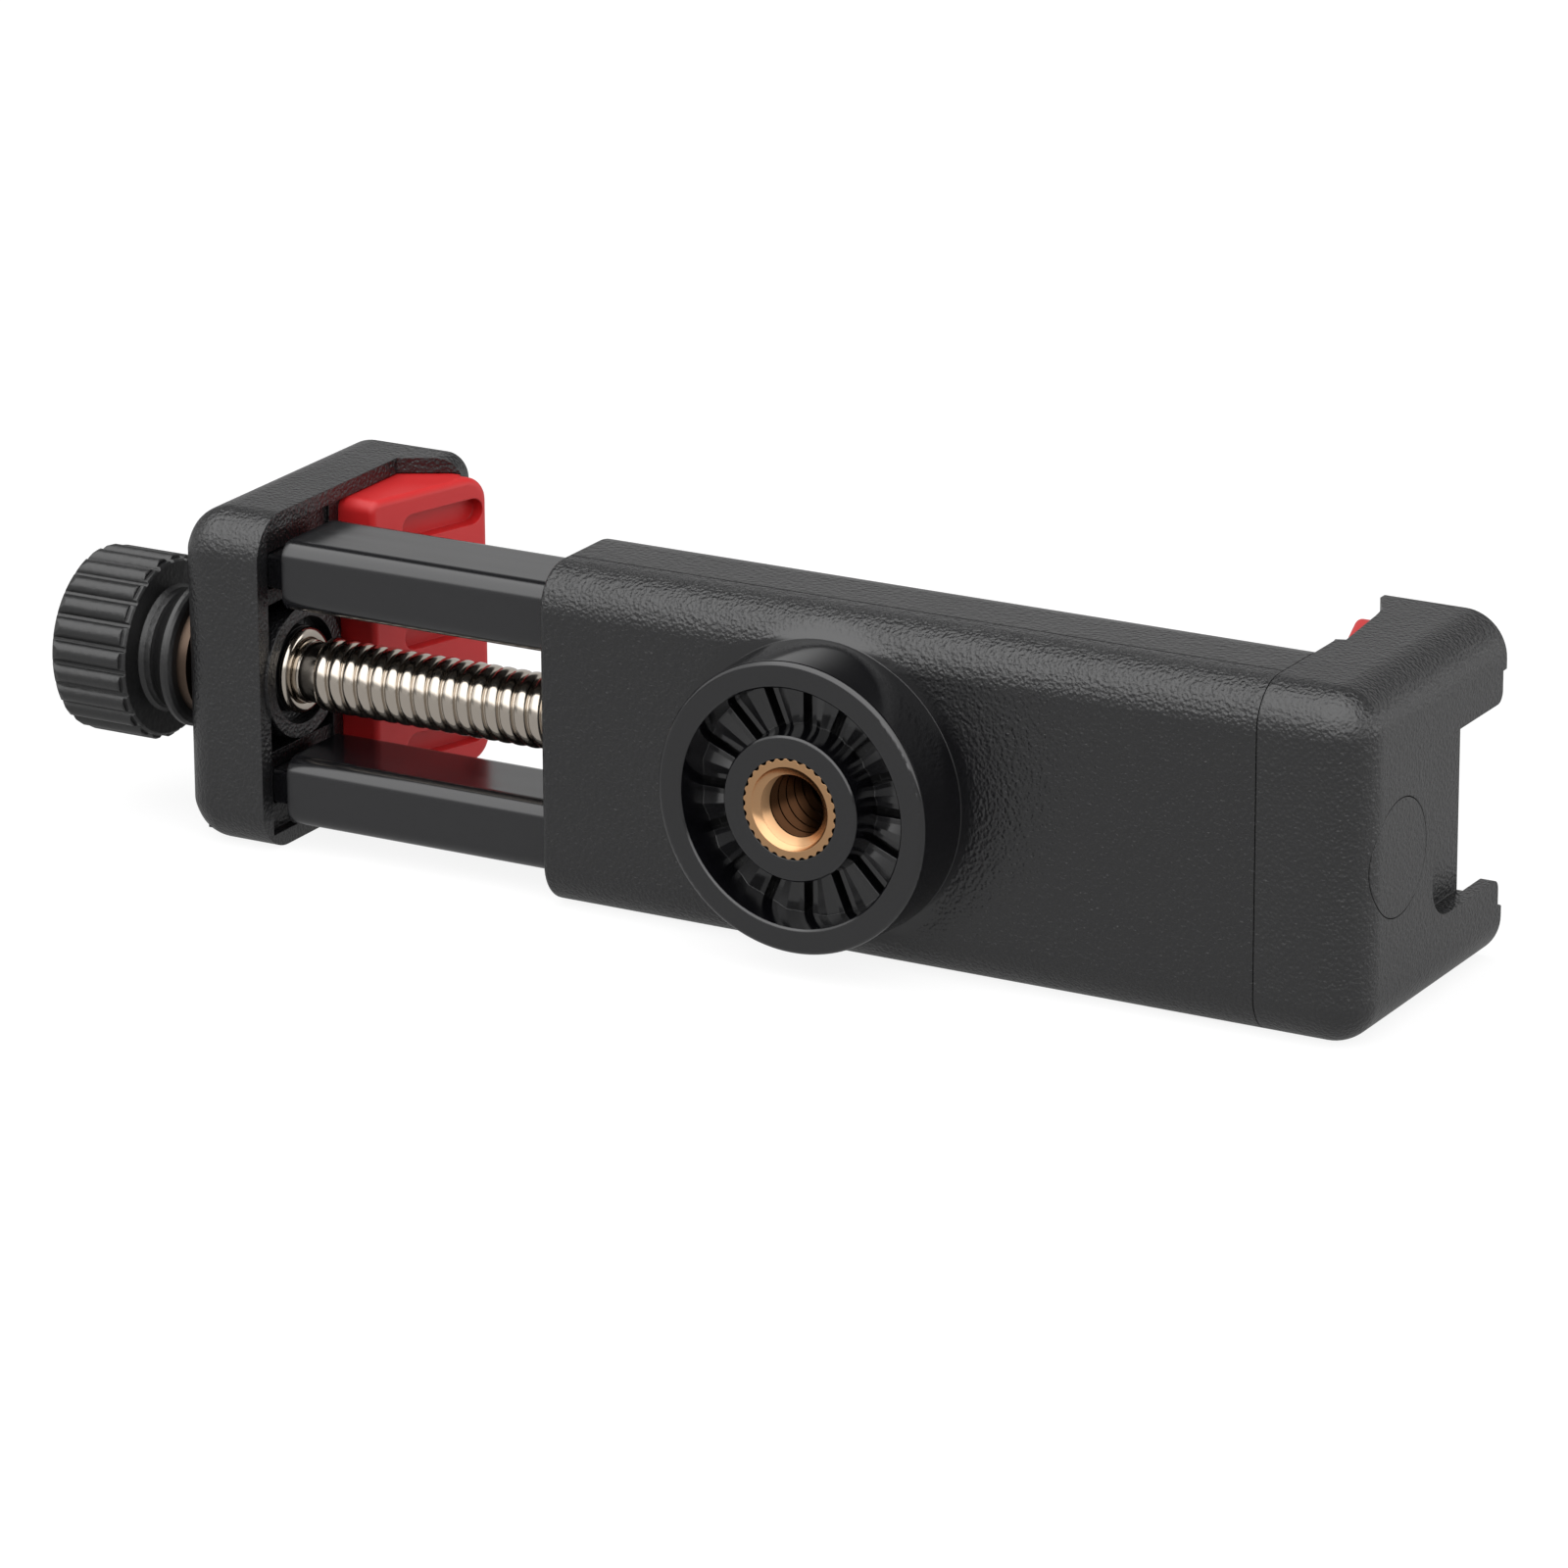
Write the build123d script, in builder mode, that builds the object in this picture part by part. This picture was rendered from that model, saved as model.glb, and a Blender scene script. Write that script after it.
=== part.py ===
# Screw-clamp phone holder with a tripod socket.
# Two moulded half shells carry a fixed jaw at the right-hand end. A moving jaw
# slides on two arms and is driven by a lead screw with a ribbed knob.
# Units are millimetres. The origin is the centre of the tripod thread's mouth.
# X runs along the holder, +Y points to the phone side, Z is up.
import os
from math import cos, pi, radians, sin

from build123d import *

os.makedirs("parts", exist_ok=True)

# Clearances
fit_gap = 0.10  # parts pushed together in one assembly
slide_gap = 0.35  # faces that slide past each other
screw_gap = 0.30  # around the turning lead screw

# Tripod hub and its brass insert
hub_height = 5.5
hub_rim_r = 11.8
hub_base_r = 12.05
hub_edge_r = 0.45
recess_r = 9.7
recess_floor_r = 9.4
recess_depth = 3.0
boss_r = 5.9
boss_foot_r = 6.05
lip_chamfer = 0.15
sector_count = 16
slot_w = 0.8
slot_depth = 1.3
sector_ridge = 0.3
insert_len = 8.0
insert_r = 4.08
insert_root_r = 3.88
insert_teeth = 30
thread_minor_r = 2.65
thread_mouth_r = 3.55
thread_mouth_depth = 0.8

# Body shells
body_x0 = -25.7
body_x1 = 37.2
seam_gap = 0.08
body_depth = 12.8
half_h = 14.1
edge_r = 3.6
wall = 1.6
end_wall = 1.8
end_edge_r = 0.4
split_rise = 4.4  # from the body's back to the seam between its halves
crease_w = 0.25
crease_d = 0.2
face_y = hub_height
front_y = face_y + body_depth
split_y = face_y + split_rise
axis_y = face_y + body_depth / 2
cavity_half = half_h - wall
cavity_depth = body_depth - 2 * wall

# Moving jaw; what has _in or _out in its name is measured from its outer face
jaw_x0 = -60.1
jaw_upright_r = 3.0
jaw_wall = 1.5
jaw_side_wall = 1.3
jaw_end_wall = 2.0
rim_in = 8.0
lip_x_in = 12.6
boss_in = 8.2
socket_in = 7.1
socket_wall = 1.4
jaw_boss_r = 5.6
counterbore_r = 4.45
counterbore_d = 1.4
lip_rise = 12.4  # from the body's front to the lip
lip_t = 1.5
lip_slope = 3.9
lip_corner_r = 2.0
lip_edge_r = 0.35
finger_back = 0.9
finger_t = 1.2
finger_tip_r = 0.9
finger_w = 2.5
notch_margin = 6.9
notch_corner_r = 3.0
pocket_sink = 1.1  # pad pocket, from the body's front
pocket_rise = 8.2
jaw_rim_x = jaw_x0 + rim_in
left_lip_x = jaw_x0 + lip_x_in
boss_face_x = jaw_x0 + boss_in
socket_x = jaw_x0 + socket_in
jaw_inner = half_h - jaw_side_wall
lip_y = front_y + lip_rise
lip_in = lip_y - lip_t
lip_root_y = lip_y - lip_slope
notch_z = half_h - notch_margin
lip_notch_z = notch_z + finger_w
block_y0 = front_y - pocket_sink
block_y1 = front_y + pocket_rise

# Sliding arms
guide_half = 5.85  # half of the gap between the arms, less their play
arm_margin = 0.5  # from an arm to the cavity's long wall
arm_play = 0.3  # from an arm to the cavity's faces
arm_corner_r = 1.5
arm_in = 9.1
arm_reach = 28.5  # inside the body
tenon_in = 2.3
tenon_inset = 1.0
tenon_wall = 0.3
stop_back = 1.9
stop_head_r = 1.7
stop_head_t = 1.2
stop_len = 2.8
arm_h = cavity_half - arm_margin - guide_half - slide_gap
arm_d = cavity_depth - 2 * arm_play
arm_z = cavity_half - arm_margin - arm_h / 2
arm_x0 = jaw_x0 + arm_in
arm_x1 = body_x0 + arm_reach
tenon_x0 = jaw_x0 + tenon_in

# Guide block and drive nut
guide_x0 = body_x0 + end_wall
guide_len = 5.0
nut_side = arm_d
nut_len = 4.0

# Lead screw
thread_r = 3.05
thread_root_r = 2.5
thread_pitch = 1.35
thread_in = 10.9
thread_lead = 0.55  # from the thread's start to its first crest
crest_w = 0.55
flank_w = 0.2
journal_r = 2.85
groove_r = 2.4
collar_r = 2.6
collar_w = 0.4
shank_r = 2.3
shank_out = 9.4
shoulder_out = 2.3
screw_reach = 27.9  # inside the body
end_ring_r = 3.55
ring_half = 0.42
ring_tube = 0.55
thrust_r = 3.6
thread_x0 = jaw_x0 + thread_in
screw_x0 = jaw_x0 - shank_out
shoulder_x = jaw_x0 - shoulder_out
screw_x1 = body_x0 + screw_reach
nut_bore_r = thread_r + screw_gap

# Fixed jaw on the body's right-hand end
fix_depth = 8.8
fix_wall = 1.7
fix_lip_rise = 13.1
rim_step = 0.7
fix_lip_back = 1.7
lug_back = 8.5
lug_rise = 1.1
lug_t = 2.4
lug_side = 1.3
lug_margin = 0.9
plug_r = 4.65
plug_rise = 0.4
plug_t = 1.0
spigot_r = 4.0
spigot_t = 2.4
fix_x1 = body_x1 + fix_depth
fix_in = fix_x1 - fix_wall
fix_lip_y = front_y + fix_lip_rise
fix_lip_in = fix_lip_y - lip_t
right_lip_x = body_x1 - fix_lip_back
lug_x0 = body_x1 - lug_back
lug_y0 = split_y + lug_rise
lug_y1 = lug_y0 + lug_t
lug_z0 = spigot_r + lug_side
lug_z1 = cavity_half - lug_margin
plug_y = axis_y + plug_rise

# Rubber pads
pad_rise = 0.3
pad_w = 12.0
pad_t = 3.3
pad_lean = 3.8
pad_corner_r = 2.2
pad_root_r = 1.0
pad_edge_r = 0.6
pad_slot_len = 8.6
pad_slot_shift = 1.2
pad_slot_h = 2.2
pad_slot_depth = 1.2
pad_slot_margin = 2.9
pad_play = 0.5  # from a centred pad to its jaw's side walls
pad_tip_in = 14.5
fix_pad_back = 3.65
pad_lug_rise = 2.0
pad_lug_w = 4.4
pad_lug_margin = 4.3
pad_lug_t = 1.8
pad_y0 = front_y + pad_rise
pad_y1 = pad_y0 + pad_w
pad_half = jaw_inner - pad_play
pad_shift = pad_play - fit_gap  # the pads sit high in their pockets
pad_slot_pitch = pad_half - pad_slot_margin
pad_lug_y0 = pad_y0 + pad_lug_rise
pad_lug_y1 = pad_lug_y0 + pad_lug_w
pad_lug_z = pad_half - pad_lug_margin
left_pad_tip_x = jaw_x0 + pad_tip_in
right_pad_tip_x = body_x1 - fix_pad_back

# Knob
knob_len = 7.25
knob_out = 4.55
knob_r = 7.7
rib_count = 23
rib_r = 0.9
rib_valley_r = 7.15
rib_turn = 2.2  # first rib's angle from the phone side, in degrees
rib_end_r = 7.35
rib_end_len = 0.45
knob_edge = 0.9
neck_r = 4.95
neck_len = 0.9
flange_r = 6.1
flange_t = 0.9
washer_r = 5.0
washer_t = 0.9
knob_x1 = jaw_x0 - knob_out
knob_x0 = knob_x1 - knob_len
collar_x = jaw_x0 - washer_t - fit_gap

# Small screws
tap_r = 1.15
tap_head_r = 2.1
tap_head_t = 0.95
tap_head_sink = 0.15
tap_grip = 5.6
tap_spare = 0.6
tap_back = 4.2
column_r = 2.9
cross_w = 0.5
cross_len = 2.4
cross_depth = 0.55
tap_x = body_x1 - tap_back
tap_z = (lug_z0 + lug_z1) / 2

screw_axis = Axis((0, axis_y, 0), (1, 0, 0))


def bar(x0, x1, y, z, depth, height, radius, mode=Mode.ADD):
    """Rounded bar along X, centred at y and z."""
    with BuildSketch(Plane.YZ.offset(x0)) as profile:
        with Locations((y, z)):
            RectangleRounded(depth, height, radius)
    extrude(profile.sketch, amount=x1 - x0, mode=mode)


def rod(x0, x1, y, z, radius, mode=Mode.ADD):
    """Round bar along X."""
    with BuildSketch(Plane.YZ.offset(x0)) as profile:
        with Locations((y, z)):
            Circle(radius)
    extrude(profile.sketch, amount=x1 - x0, mode=mode)


def pin_y(x, z, y0, y1, radius, mode=Mode.ADD):
    """Round pin along Y from y0 to y1."""
    with BuildSketch(Plane.XZ.offset(-y0)) as profile:
        with Locations((x, z)):
            Circle(radius)
    extrude(profile.sketch, amount=y0 - y1, mode=mode)


def block(x0, x1, y0, y1, z0, z1, mode=Mode.ADD):
    """Plain box between two corners."""
    with Locations(((x0 + x1) / 2, (y0 + y1) / 2, (z0 + z1) / 2)):
        Box(x1 - x0, y1 - y0, z1 - z0, mode=mode)


def plate(points, z0, z1, mode=Mode.ADD):
    """Outline in the XY plane, extruded from z0 to z1."""
    with BuildSketch(Plane.XY.offset(z0)) as profile:
        with BuildLine():
            Polyline(points, close=True)
        make_face()
    extrude(profile.sketch, amount=z1 - z0, mode=mode)


def turned(points, mode=Mode.ADD):
    """Outline of (x, radius) pairs turned about the lead screw's axis."""
    with BuildSketch(Plane.XY) as profile:
        with BuildLine():
            Polyline([(x, axis_y + r) for x, r in points], close=True)
        make_face()
    revolve(profile.sketch, axis=screw_axis, mode=mode)


def turned_hub(points, mode=Mode.ADD):
    """Outline of (radius, y) pairs turned about the tripod thread's axis."""
    with BuildSketch(Plane.XY) as profile:
        with BuildLine():
            Polyline(points, close=True)
        make_face()
    revolve(profile.sketch, axis=Axis.Y, mode=mode)


def shell_windows():
    """Openings of the body's left end for both arms and the lead screw."""
    for side in (-1, 1):
        bar(body_x0 - 1, guide_x0 + 0.5, axis_y, side * arm_z, arm_d + 2 * slide_gap,
            arm_h + 2 * slide_gap, arm_corner_r + slide_gap, Mode.SUBTRACT)
    rod(body_x0 - 1, guide_x0 + 0.5, axis_y, 0, nut_bore_r + fit_gap, Mode.SUBTRACT)


def body_shell():
    """Whole hollow body before it is split into its two halves."""
    bar(body_x0, body_x1 - seam_gap, axis_y, 0, body_depth, 2 * half_h, edge_r)


def hollow_body():
    """Inside of the body, open at the right-hand end."""
    bar(guide_x0, body_x1 + 1, axis_y, 0, cavity_depth, 2 * cavity_half, edge_r - wall,
        Mode.SUBTRACT)
    shell_windows()


def round_jaw(part, pick, upright_r, tip_r):
    """Large radii on a jaw's outer edges; pick is -1 or 0 for its end along X."""
    ends = part.edges().filter_by(Axis.Y)
    if tip_r:
        fillet(ends.group_by(Axis.X)[-1 - pick], tip_r)
    long_edges = part.edges().filter_by(Axis.X).group_by(Axis.Y)[0]
    end_edges = part.edges().filter_by(Axis.Y).group_by(Axis.X)[pick]
    upright = part.edges().filter_by(Axis.Z).group_by(Axis.X)[pick].sort_by(Axis.Y)[0]
    if upright_r == edge_r:
        fillet(long_edges + end_edges + [upright], edge_r)
    else:
        fillet(long_edges + end_edges, edge_r)
        side = part.faces().sort_by(Axis.Y)[0].edges().filter_by(Axis.Z)
        fillet(side.group_by(Axis.X)[pick], upright_r)
    fillet(part.faces().sort_by(Axis.Y)[-1].edges(), lip_edge_r)


def notch(part, x0, x1, far_y):
    """U-shaped opening in a jaw's end wall and the wider gap in its lip."""
    with BuildSketch(Plane.YZ.offset(x0)) as profile:
        with Locations((front_y + lip_rise, 0)):
            RectangleRounded(2 * lip_rise, 2 * notch_z, notch_corner_r)
    extrude(profile.sketch, amount=x1 - x0, mode=Mode.SUBTRACT)
    block(x0 - 1, x1 + 1, far_y - finger_back, far_y + 1, -lip_notch_z, lip_notch_z,
          Mode.SUBTRACT)
    fillet(part.edges().filter_by(Axis.X).filter_by(
        lambda edge: abs(abs(edge.center().Z) - notch_z) < 0.01
        and abs(edge.center().Y - far_y + finger_back) < 0.01), finger_tip_r)


# Back shell with the tripod hub
with BuildPart() as back_housing:
    body_shell()
    fillet(back_housing.edges().group_by(Axis.X)[0], end_edge_r)
    hollow_body()
    block(body_x0 - 1, body_x1 + 1, split_y, front_y + 1, -half_h - 1, half_h + 1,
          Mode.SUBTRACT)
    for side in (-1, 1):
        pin_y(tap_x, side * tap_z, face_y + wall - 0.2, lug_y0 - fit_gap, column_r)
        pin_y(tap_x, side * tap_z, face_y + wall + 0.6, split_y + 2, tap_r, Mode.SUBTRACT)
    turned_hub([(0, 0), (hub_rim_r, 0), (hub_base_r, face_y), (hub_base_r, face_y + 1),
                (0, face_y + 1)])
    pin_y(0, 0, face_y, insert_len, boss_r)
    rim = back_housing.edges().filter_by(GeomType.CIRCLE).group_by(Axis.Y)[0]
    fillet(rim, hub_edge_r)
    turned_hub([(boss_r - lip_chamfer, -0.1), (recess_r + lip_chamfer, -0.1),
                (recess_r + lip_chamfer, 0), (recess_r, lip_chamfer),
                (recess_floor_r, recess_depth), (boss_foot_r, recess_depth),
                (boss_r, lip_chamfer), (boss_r - lip_chamfer, 0)], Mode.SUBTRACT)
    step = 360 / sector_count
    for index in range(sector_count):
        turn = radians((index + 0.5) * step)
        out = (cos(turn), 0, sin(turn))
        across = (-sin(turn), 0, cos(turn))
        for radius, width, rise in ((boss_foot_r - 0.1, 1.3, 0.18),
                                    (recess_floor_r + 0.05, 2.7, sector_ridge)):
            start = (radius * out[0], recess_depth, radius * out[2])
            with BuildSketch(Plane(origin=start, x_dir=across, z_dir=out)):
                with BuildLine():
                    Polyline([(-width / 2, -0.1), (width / 2, -0.1), (0, rise)], close=True)
                make_face()
        loft()
    with BuildSketch(Plane.XZ.offset(-(recess_depth - sector_ridge))):
        with PolarLocations((boss_foot_r + recess_floor_r) / 2, sector_count):
            Rectangle(recess_floor_r - boss_foot_r, slot_w)
    extrude(amount=-(slot_depth + sector_ridge), mode=Mode.SUBTRACT)
    pin_y(0, 0, -0.1, insert_len + 0.1, insert_r + 0.02, Mode.SUBTRACT)
back_housing.part.label = "back_housing"
export_step(back_housing.part, "parts/back_housing.step")

# Front shell on the phone side
with BuildPart() as front_housing:
    body_shell()
    fillet(front_housing.edges().group_by(Axis.X)[0], end_edge_r)
    hollow_body()
    block(body_x0 - 1, body_x1 + 1, face_y - 1, split_y, -half_h - 1, half_h + 1,
          Mode.SUBTRACT)
    for side in (-1, 1):
        block(body_x0 - 1, body_x1 + 1, split_y, split_y + crease_w,
              side * half_h - crease_d, side * half_h + crease_d, Mode.SUBTRACT)
        pin_y(tap_x, side * tap_z, lug_y1 + fit_gap, front_y - wall + 0.2, column_r)
        pin_y(tap_x, side * tap_z, lug_y1, front_y + 1, tap_r + fit_gap, Mode.SUBTRACT)
        with BuildSketch(Plane.XZ.offset(-(front_y + 0.01))):
            with Locations((tap_x, side * tap_z)):
                Circle(tap_head_r + fit_gap)
        with BuildSketch(Plane.XZ.offset(-(front_y - 1.15))):
            with Locations((tap_x, side * tap_z)):
                Circle(tap_r + fit_gap)
        loft(mode=Mode.SUBTRACT)
front_housing.part.label = "front_housing"
export_step(front_housing.part, "parts/front_housing.step")

# Two countersunk screws through the front shell and the fixed jaw's lugs
with BuildPart() as housing_screws:
    for side in (-1, 1):
        pin_y(tap_x, side * tap_z, face_y + wall + 0.8, front_y - 0.9, tap_r)
        with BuildSketch(Plane.XZ.offset(-(front_y - 0.1))):
            with Locations((tap_x, side * tap_z)):
                Circle(tap_head_r)
        with BuildSketch(Plane.XZ.offset(-(front_y - 1.1))):
            with Locations((tap_x, side * tap_z)):
                Circle(tap_r)
        loft()
        with BuildSketch(Plane.XZ.offset(-front_y)):
            with Locations((tap_x, side * tap_z)):
                Rectangle(cross_len, cross_w)
                Rectangle(cross_w, cross_len)
        extrude(amount=0.8, mode=Mode.SUBTRACT)
housing_screws.part.label = "housing_screws"
export_step(housing_screws.part, "parts/housing_screws.step")

# Knurled brass insert with the tripod thread's bore
with BuildPart() as tripod_insert:
    knurl = []
    for index in range(insert_teeth * 4):
        turn = 2 * pi * index / (insert_teeth * 4)
        radius = insert_r if index % 4 in (0, 1) else insert_root_r
        knurl.append((radius * cos(turn), radius * sin(turn)))
    with BuildSketch(Plane.XZ):
        with BuildLine():
            Polyline(knurl, close=True)
        make_face()
    extrude(amount=-insert_len)
    turned_hub([(0, -0.1), (thread_mouth_r, -0.1), (thread_mouth_r, 0),
                (thread_minor_r, thread_mouth_depth), (thread_minor_r, insert_len + 0.1),
                (0, insert_len + 0.1)], Mode.SUBTRACT)
tripod_insert.part.label = "tripod_insert"
export_step(tripod_insert.part, "parts/tripod_insert.step")

# Guide block between the arms, with the drive nut's pocket
with BuildPart() as guide_block:
    bar(guide_x0 + fit_gap, guide_x0 + guide_len, axis_y, 0, cavity_depth - fit_gap,
        2 * guide_half, 0.5)
    block(guide_x0 - 1, guide_x0 + nut_len + 0.2, axis_y - nut_side / 2 - 0.05,
          axis_y + nut_side / 2 + 0.05, -nut_side / 2 - 0.05, nut_side / 2 + 0.05,
          Mode.SUBTRACT)
    rod(guide_x0 - 1, guide_x0 + guide_len + 1, axis_y, 0, nut_bore_r + fit_gap,
        Mode.SUBTRACT)
guide_block.part.label = "guide_block"
export_step(guide_block.part, "parts/guide_block.step")

# Square brass nut for the lead screw
with BuildPart() as drive_nut:
    bar(guide_x0 + 0.15, guide_x0 + 0.15 + nut_len, axis_y, 0, nut_side, nut_side, 0.6)
    rod(guide_x0 - 1, guide_x0 + nut_len + 1, axis_y, 0, nut_bore_r, Mode.SUBTRACT)
drive_nut.part.label = "drive_nut"
export_step(drive_nut.part, "parts/drive_nut.step")

# Fixed jaw
fixed_outline = [(body_x1, face_y), (fix_x1, face_y), (fix_x1, fix_lip_y),
                 (right_lip_x, fix_lip_y), (right_lip_x, fix_lip_y - 1.1),
                 (body_x1 - 0.3, fix_lip_in - 2.1), (body_x1, fix_lip_in - 3.9),
                 (body_x1 + rim_step, front_y + 1.0), (body_x1 - 0.1, front_y + 0.7),
                 (body_x1, front_y + 0.3)]
seat_right = right_pad_tip_x + pad_lean + pad_t
with BuildPart() as fixed_jaw:
    plate(fixed_outline, -half_h, half_h)
    round_jaw(fixed_jaw, -1, edge_r, 0)
    plate([(body_x1 - 1, face_y + fix_wall), (fix_in, face_y + fix_wall),
           (fix_in, block_y0), (body_x1 - 1, block_y0)],
          -cavity_half, cavity_half, Mode.SUBTRACT)
    plate([(right_lip_x - 1, pad_y0), (seat_right, pad_y0), (seat_right, block_y1),
           (fix_x1 - finger_t, block_y1), (fix_x1 - finger_t, fix_lip_in),
           (right_lip_x - 1, fix_lip_in)],
          -jaw_inner, jaw_inner, Mode.SUBTRACT)
    block(seat_right - 0.5, seat_right + pad_lug_t, pad_lug_y0, pad_lug_y1,
          pad_shift - pad_lug_z, pad_shift + pad_lug_z, Mode.SUBTRACT)
    block(right_lip_x - 1, fix_x1 - finger_t, fix_lip_in - 0.1, fix_lip_y + 1,
          -lip_notch_z, lip_notch_z, Mode.SUBTRACT)
    notch(fixed_jaw, fix_in, fix_x1 + 1, fix_lip_y)
    for side in (-1, 1):
        block(lug_x0, fix_in + 0.3, lug_y0, lug_y1, min(side * lug_z0, side * lug_z1),
              max(side * lug_z0, side * lug_z1))
        pin_y(tap_x, side * tap_z, lug_y0 - 1, lug_y1 + 1, tap_r + fit_gap, Mode.SUBTRACT)
    rod(fix_in - 1, fix_x1 + 1, plug_y, 0, spigot_r + 0.04, Mode.SUBTRACT)
    rod(fix_x1 - plug_t, fix_x1 + 1, plug_y, 0, plug_r + seam_gap, Mode.SUBTRACT)
fixed_jaw.part.label = "fixed_jaw"
export_step(fixed_jaw.part, "parts/fixed_jaw.step")

# Round plug that closes the bore in the fixed jaw's end
with BuildPart() as end_plug:
    plate(fixed_outline, -half_h, half_h)
    round_jaw(end_plug, -1, edge_r, 0)
    with BuildSketch(Plane.YZ.offset(fix_x1 - plug_t)):
        with Locations((plug_y, 0)):
            Circle(plug_r)
    extrude(amount=plug_t + 1, mode=Mode.INTERSECT)
    rod(fix_x1 - plug_t - spigot_t, fix_x1 - plug_t + 0.1, plug_y, 0, spigot_r)
    rod(fix_x1 - plug_t - spigot_t - 1, fix_x1 - plug_t, plug_y, 0, spigot_r - 1.2,
        Mode.SUBTRACT)
end_plug.part.label = "end_plug"
export_step(end_plug.part, "parts/end_plug.step")

# Moving jaw
moving_outline = [(jaw_x0, face_y), (jaw_rim_x, face_y), (jaw_rim_x, lip_root_y),
                  (left_lip_x, lip_in + 0.2), (left_lip_x, lip_y), (jaw_x0, lip_y)]
mov_in = jaw_x0 + jaw_end_wall
seat_left = left_pad_tip_x - pad_lean - pad_t
with BuildPart() as moving_jaw:
    plate(moving_outline, -half_h, half_h)
    round_jaw(moving_jaw, 0, jaw_upright_r, lip_corner_r)
    plate([(mov_in, face_y + jaw_wall), (jaw_rim_x + 1, face_y + jaw_wall),
           (jaw_rim_x + 1, block_y0), (mov_in, block_y0)],
          -jaw_inner, jaw_inner, Mode.SUBTRACT)
    plate([(left_lip_x + 1, block_y0 - 0.1), (seat_left, block_y0 - 0.1),
           (seat_left, block_y1), (jaw_x0 + finger_t, block_y1), (jaw_x0 + finger_t, lip_in),
           (left_lip_x + 1, lip_in)],
          -jaw_inner, jaw_inner, Mode.SUBTRACT)
    block(seat_left - pad_lug_t, seat_left + 0.5, pad_lug_y0, pad_lug_y1,
          pad_shift - pad_lug_z, pad_shift + pad_lug_z, Mode.SUBTRACT)
    block(jaw_x0 + finger_t, left_lip_x + 1, lip_in - 0.1, lip_y + 1, -lip_notch_z,
          lip_notch_z, Mode.SUBTRACT)
    notch(moving_jaw, jaw_x0 - 1, mov_in, lip_y)
    rod(mov_in - 0.2, boss_face_x, axis_y, 0, jaw_boss_r)
    for side in (-1, 1):
        inner = side * (arm_z - tap_r - tenon_wall - socket_wall)
        outer = side * (jaw_inner + 0.2)
        block(mov_in - 0.2, socket_x, face_y + jaw_wall - 0.2, block_y0 + 0.2,
              min(inner, outer), max(inner, outer))
        bar(mov_in, socket_x + 1, axis_y, side * arm_z, arm_d - 2 * tenon_inset + 2 * fit_gap,
            2 * (tap_r + tenon_wall + fit_gap), 0.5, Mode.SUBTRACT)
        rod(jaw_x0 - 1, mov_in + 1, axis_y, side * arm_z, tap_r + fit_gap, Mode.SUBTRACT)
        rod(jaw_x0 - 1, jaw_x0 + tap_head_sink + tap_head_t, axis_y, side * arm_z,
            tap_head_r + fit_gap, Mode.SUBTRACT)
    rod(jaw_x0 - 1, boss_face_x + 1, axis_y, 0, journal_r + screw_gap, Mode.SUBTRACT)
    rod(boss_face_x - counterbore_d, boss_face_x + 1, axis_y, 0, counterbore_r,
        Mode.SUBTRACT)
moving_jaw.part.label = "moving_jaw"
export_step(moving_jaw.part, "parts/moving_jaw.step")


def pad(tip_x, direction, jaw_lip_x, jaw_lip_in):
    """Wedge-shaped grip pad; direction points from its back to its grip face."""
    root_x = tip_x - direction * pad_lean
    back_x = root_x - direction * pad_t
    lip_x = jaw_lip_x + direction * fit_gap
    step_y = jaw_lip_in - fit_gap
    z0 = pad_shift - pad_half
    z1 = pad_shift + pad_half
    plate([(back_x, pad_y0), (root_x, pad_y0), (tip_x, pad_y1), (lip_x, pad_y1),
           (lip_x, step_y), (back_x, step_y)], z0, z1)
    with BuildSketch(Plane.YZ.offset(min(back_x, tip_x) - 1)) as profile:
        with Locations(((pad_y0 + pad_y1) / 2, pad_shift)):
            Rectangle(pad_y1 - pad_y0, 2 * pad_half)
        fillet(profile.vertices().group_by(Axis.X)[0], pad_root_r)
        fillet(profile.vertices().group_by(Axis.X)[-1], pad_corner_r)
    extrude(profile.sketch, amount=abs(back_x - tip_x) + 2, mode=Mode.INTERSECT)
    plate([(back_x, pad_y1 - pad_corner_r - pad_edge_r),
           (jaw_lip_x, pad_y1 - pad_corner_r - pad_edge_r), (jaw_lip_x, step_y),
           (back_x, step_y)], z0, z1)


def pad_details(part, tip_x, direction):
    """Rounded grip edges, three slots and the lug on a pad's back."""
    along = Vector(direction * pad_lean, pad_y1 - pad_y0, 0).normalized()
    facing = Vector(direction * along.Y, -direction * along.X, 0)
    grip = part.faces().filter_by(GeomType.PLANE).sort_by(
        lambda face: face.normal_at(face.center()).dot(facing))[-1]
    fillet(grip.edges(), pad_edge_r)
    middle = Vector(tip_x - direction * pad_lean / 2, (pad_y0 + pad_y1) / 2, pad_shift)
    middle += along * pad_slot_shift
    with BuildSketch(Plane(origin=middle, x_dir=along, z_dir=facing)) as slots:
        with Locations((0, 0), (0, pad_slot_pitch), (0, -pad_slot_pitch)):
            SlotOverall(pad_slot_len, pad_slot_h)
    extrude(slots.sketch, amount=-pad_slot_depth, mode=Mode.SUBTRACT)
    back_x = tip_x - direction * (pad_lean + pad_t)
    far_x = back_x - direction * (pad_lug_t - fit_gap)
    near_x = back_x + direction * 1.5
    block(min(far_x, near_x), max(far_x, near_x), pad_lug_y0 + fit_gap,
          pad_lug_y1 - fit_gap, pad_shift - pad_lug_z + fit_gap,
          pad_shift + pad_lug_z - fit_gap)


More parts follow.
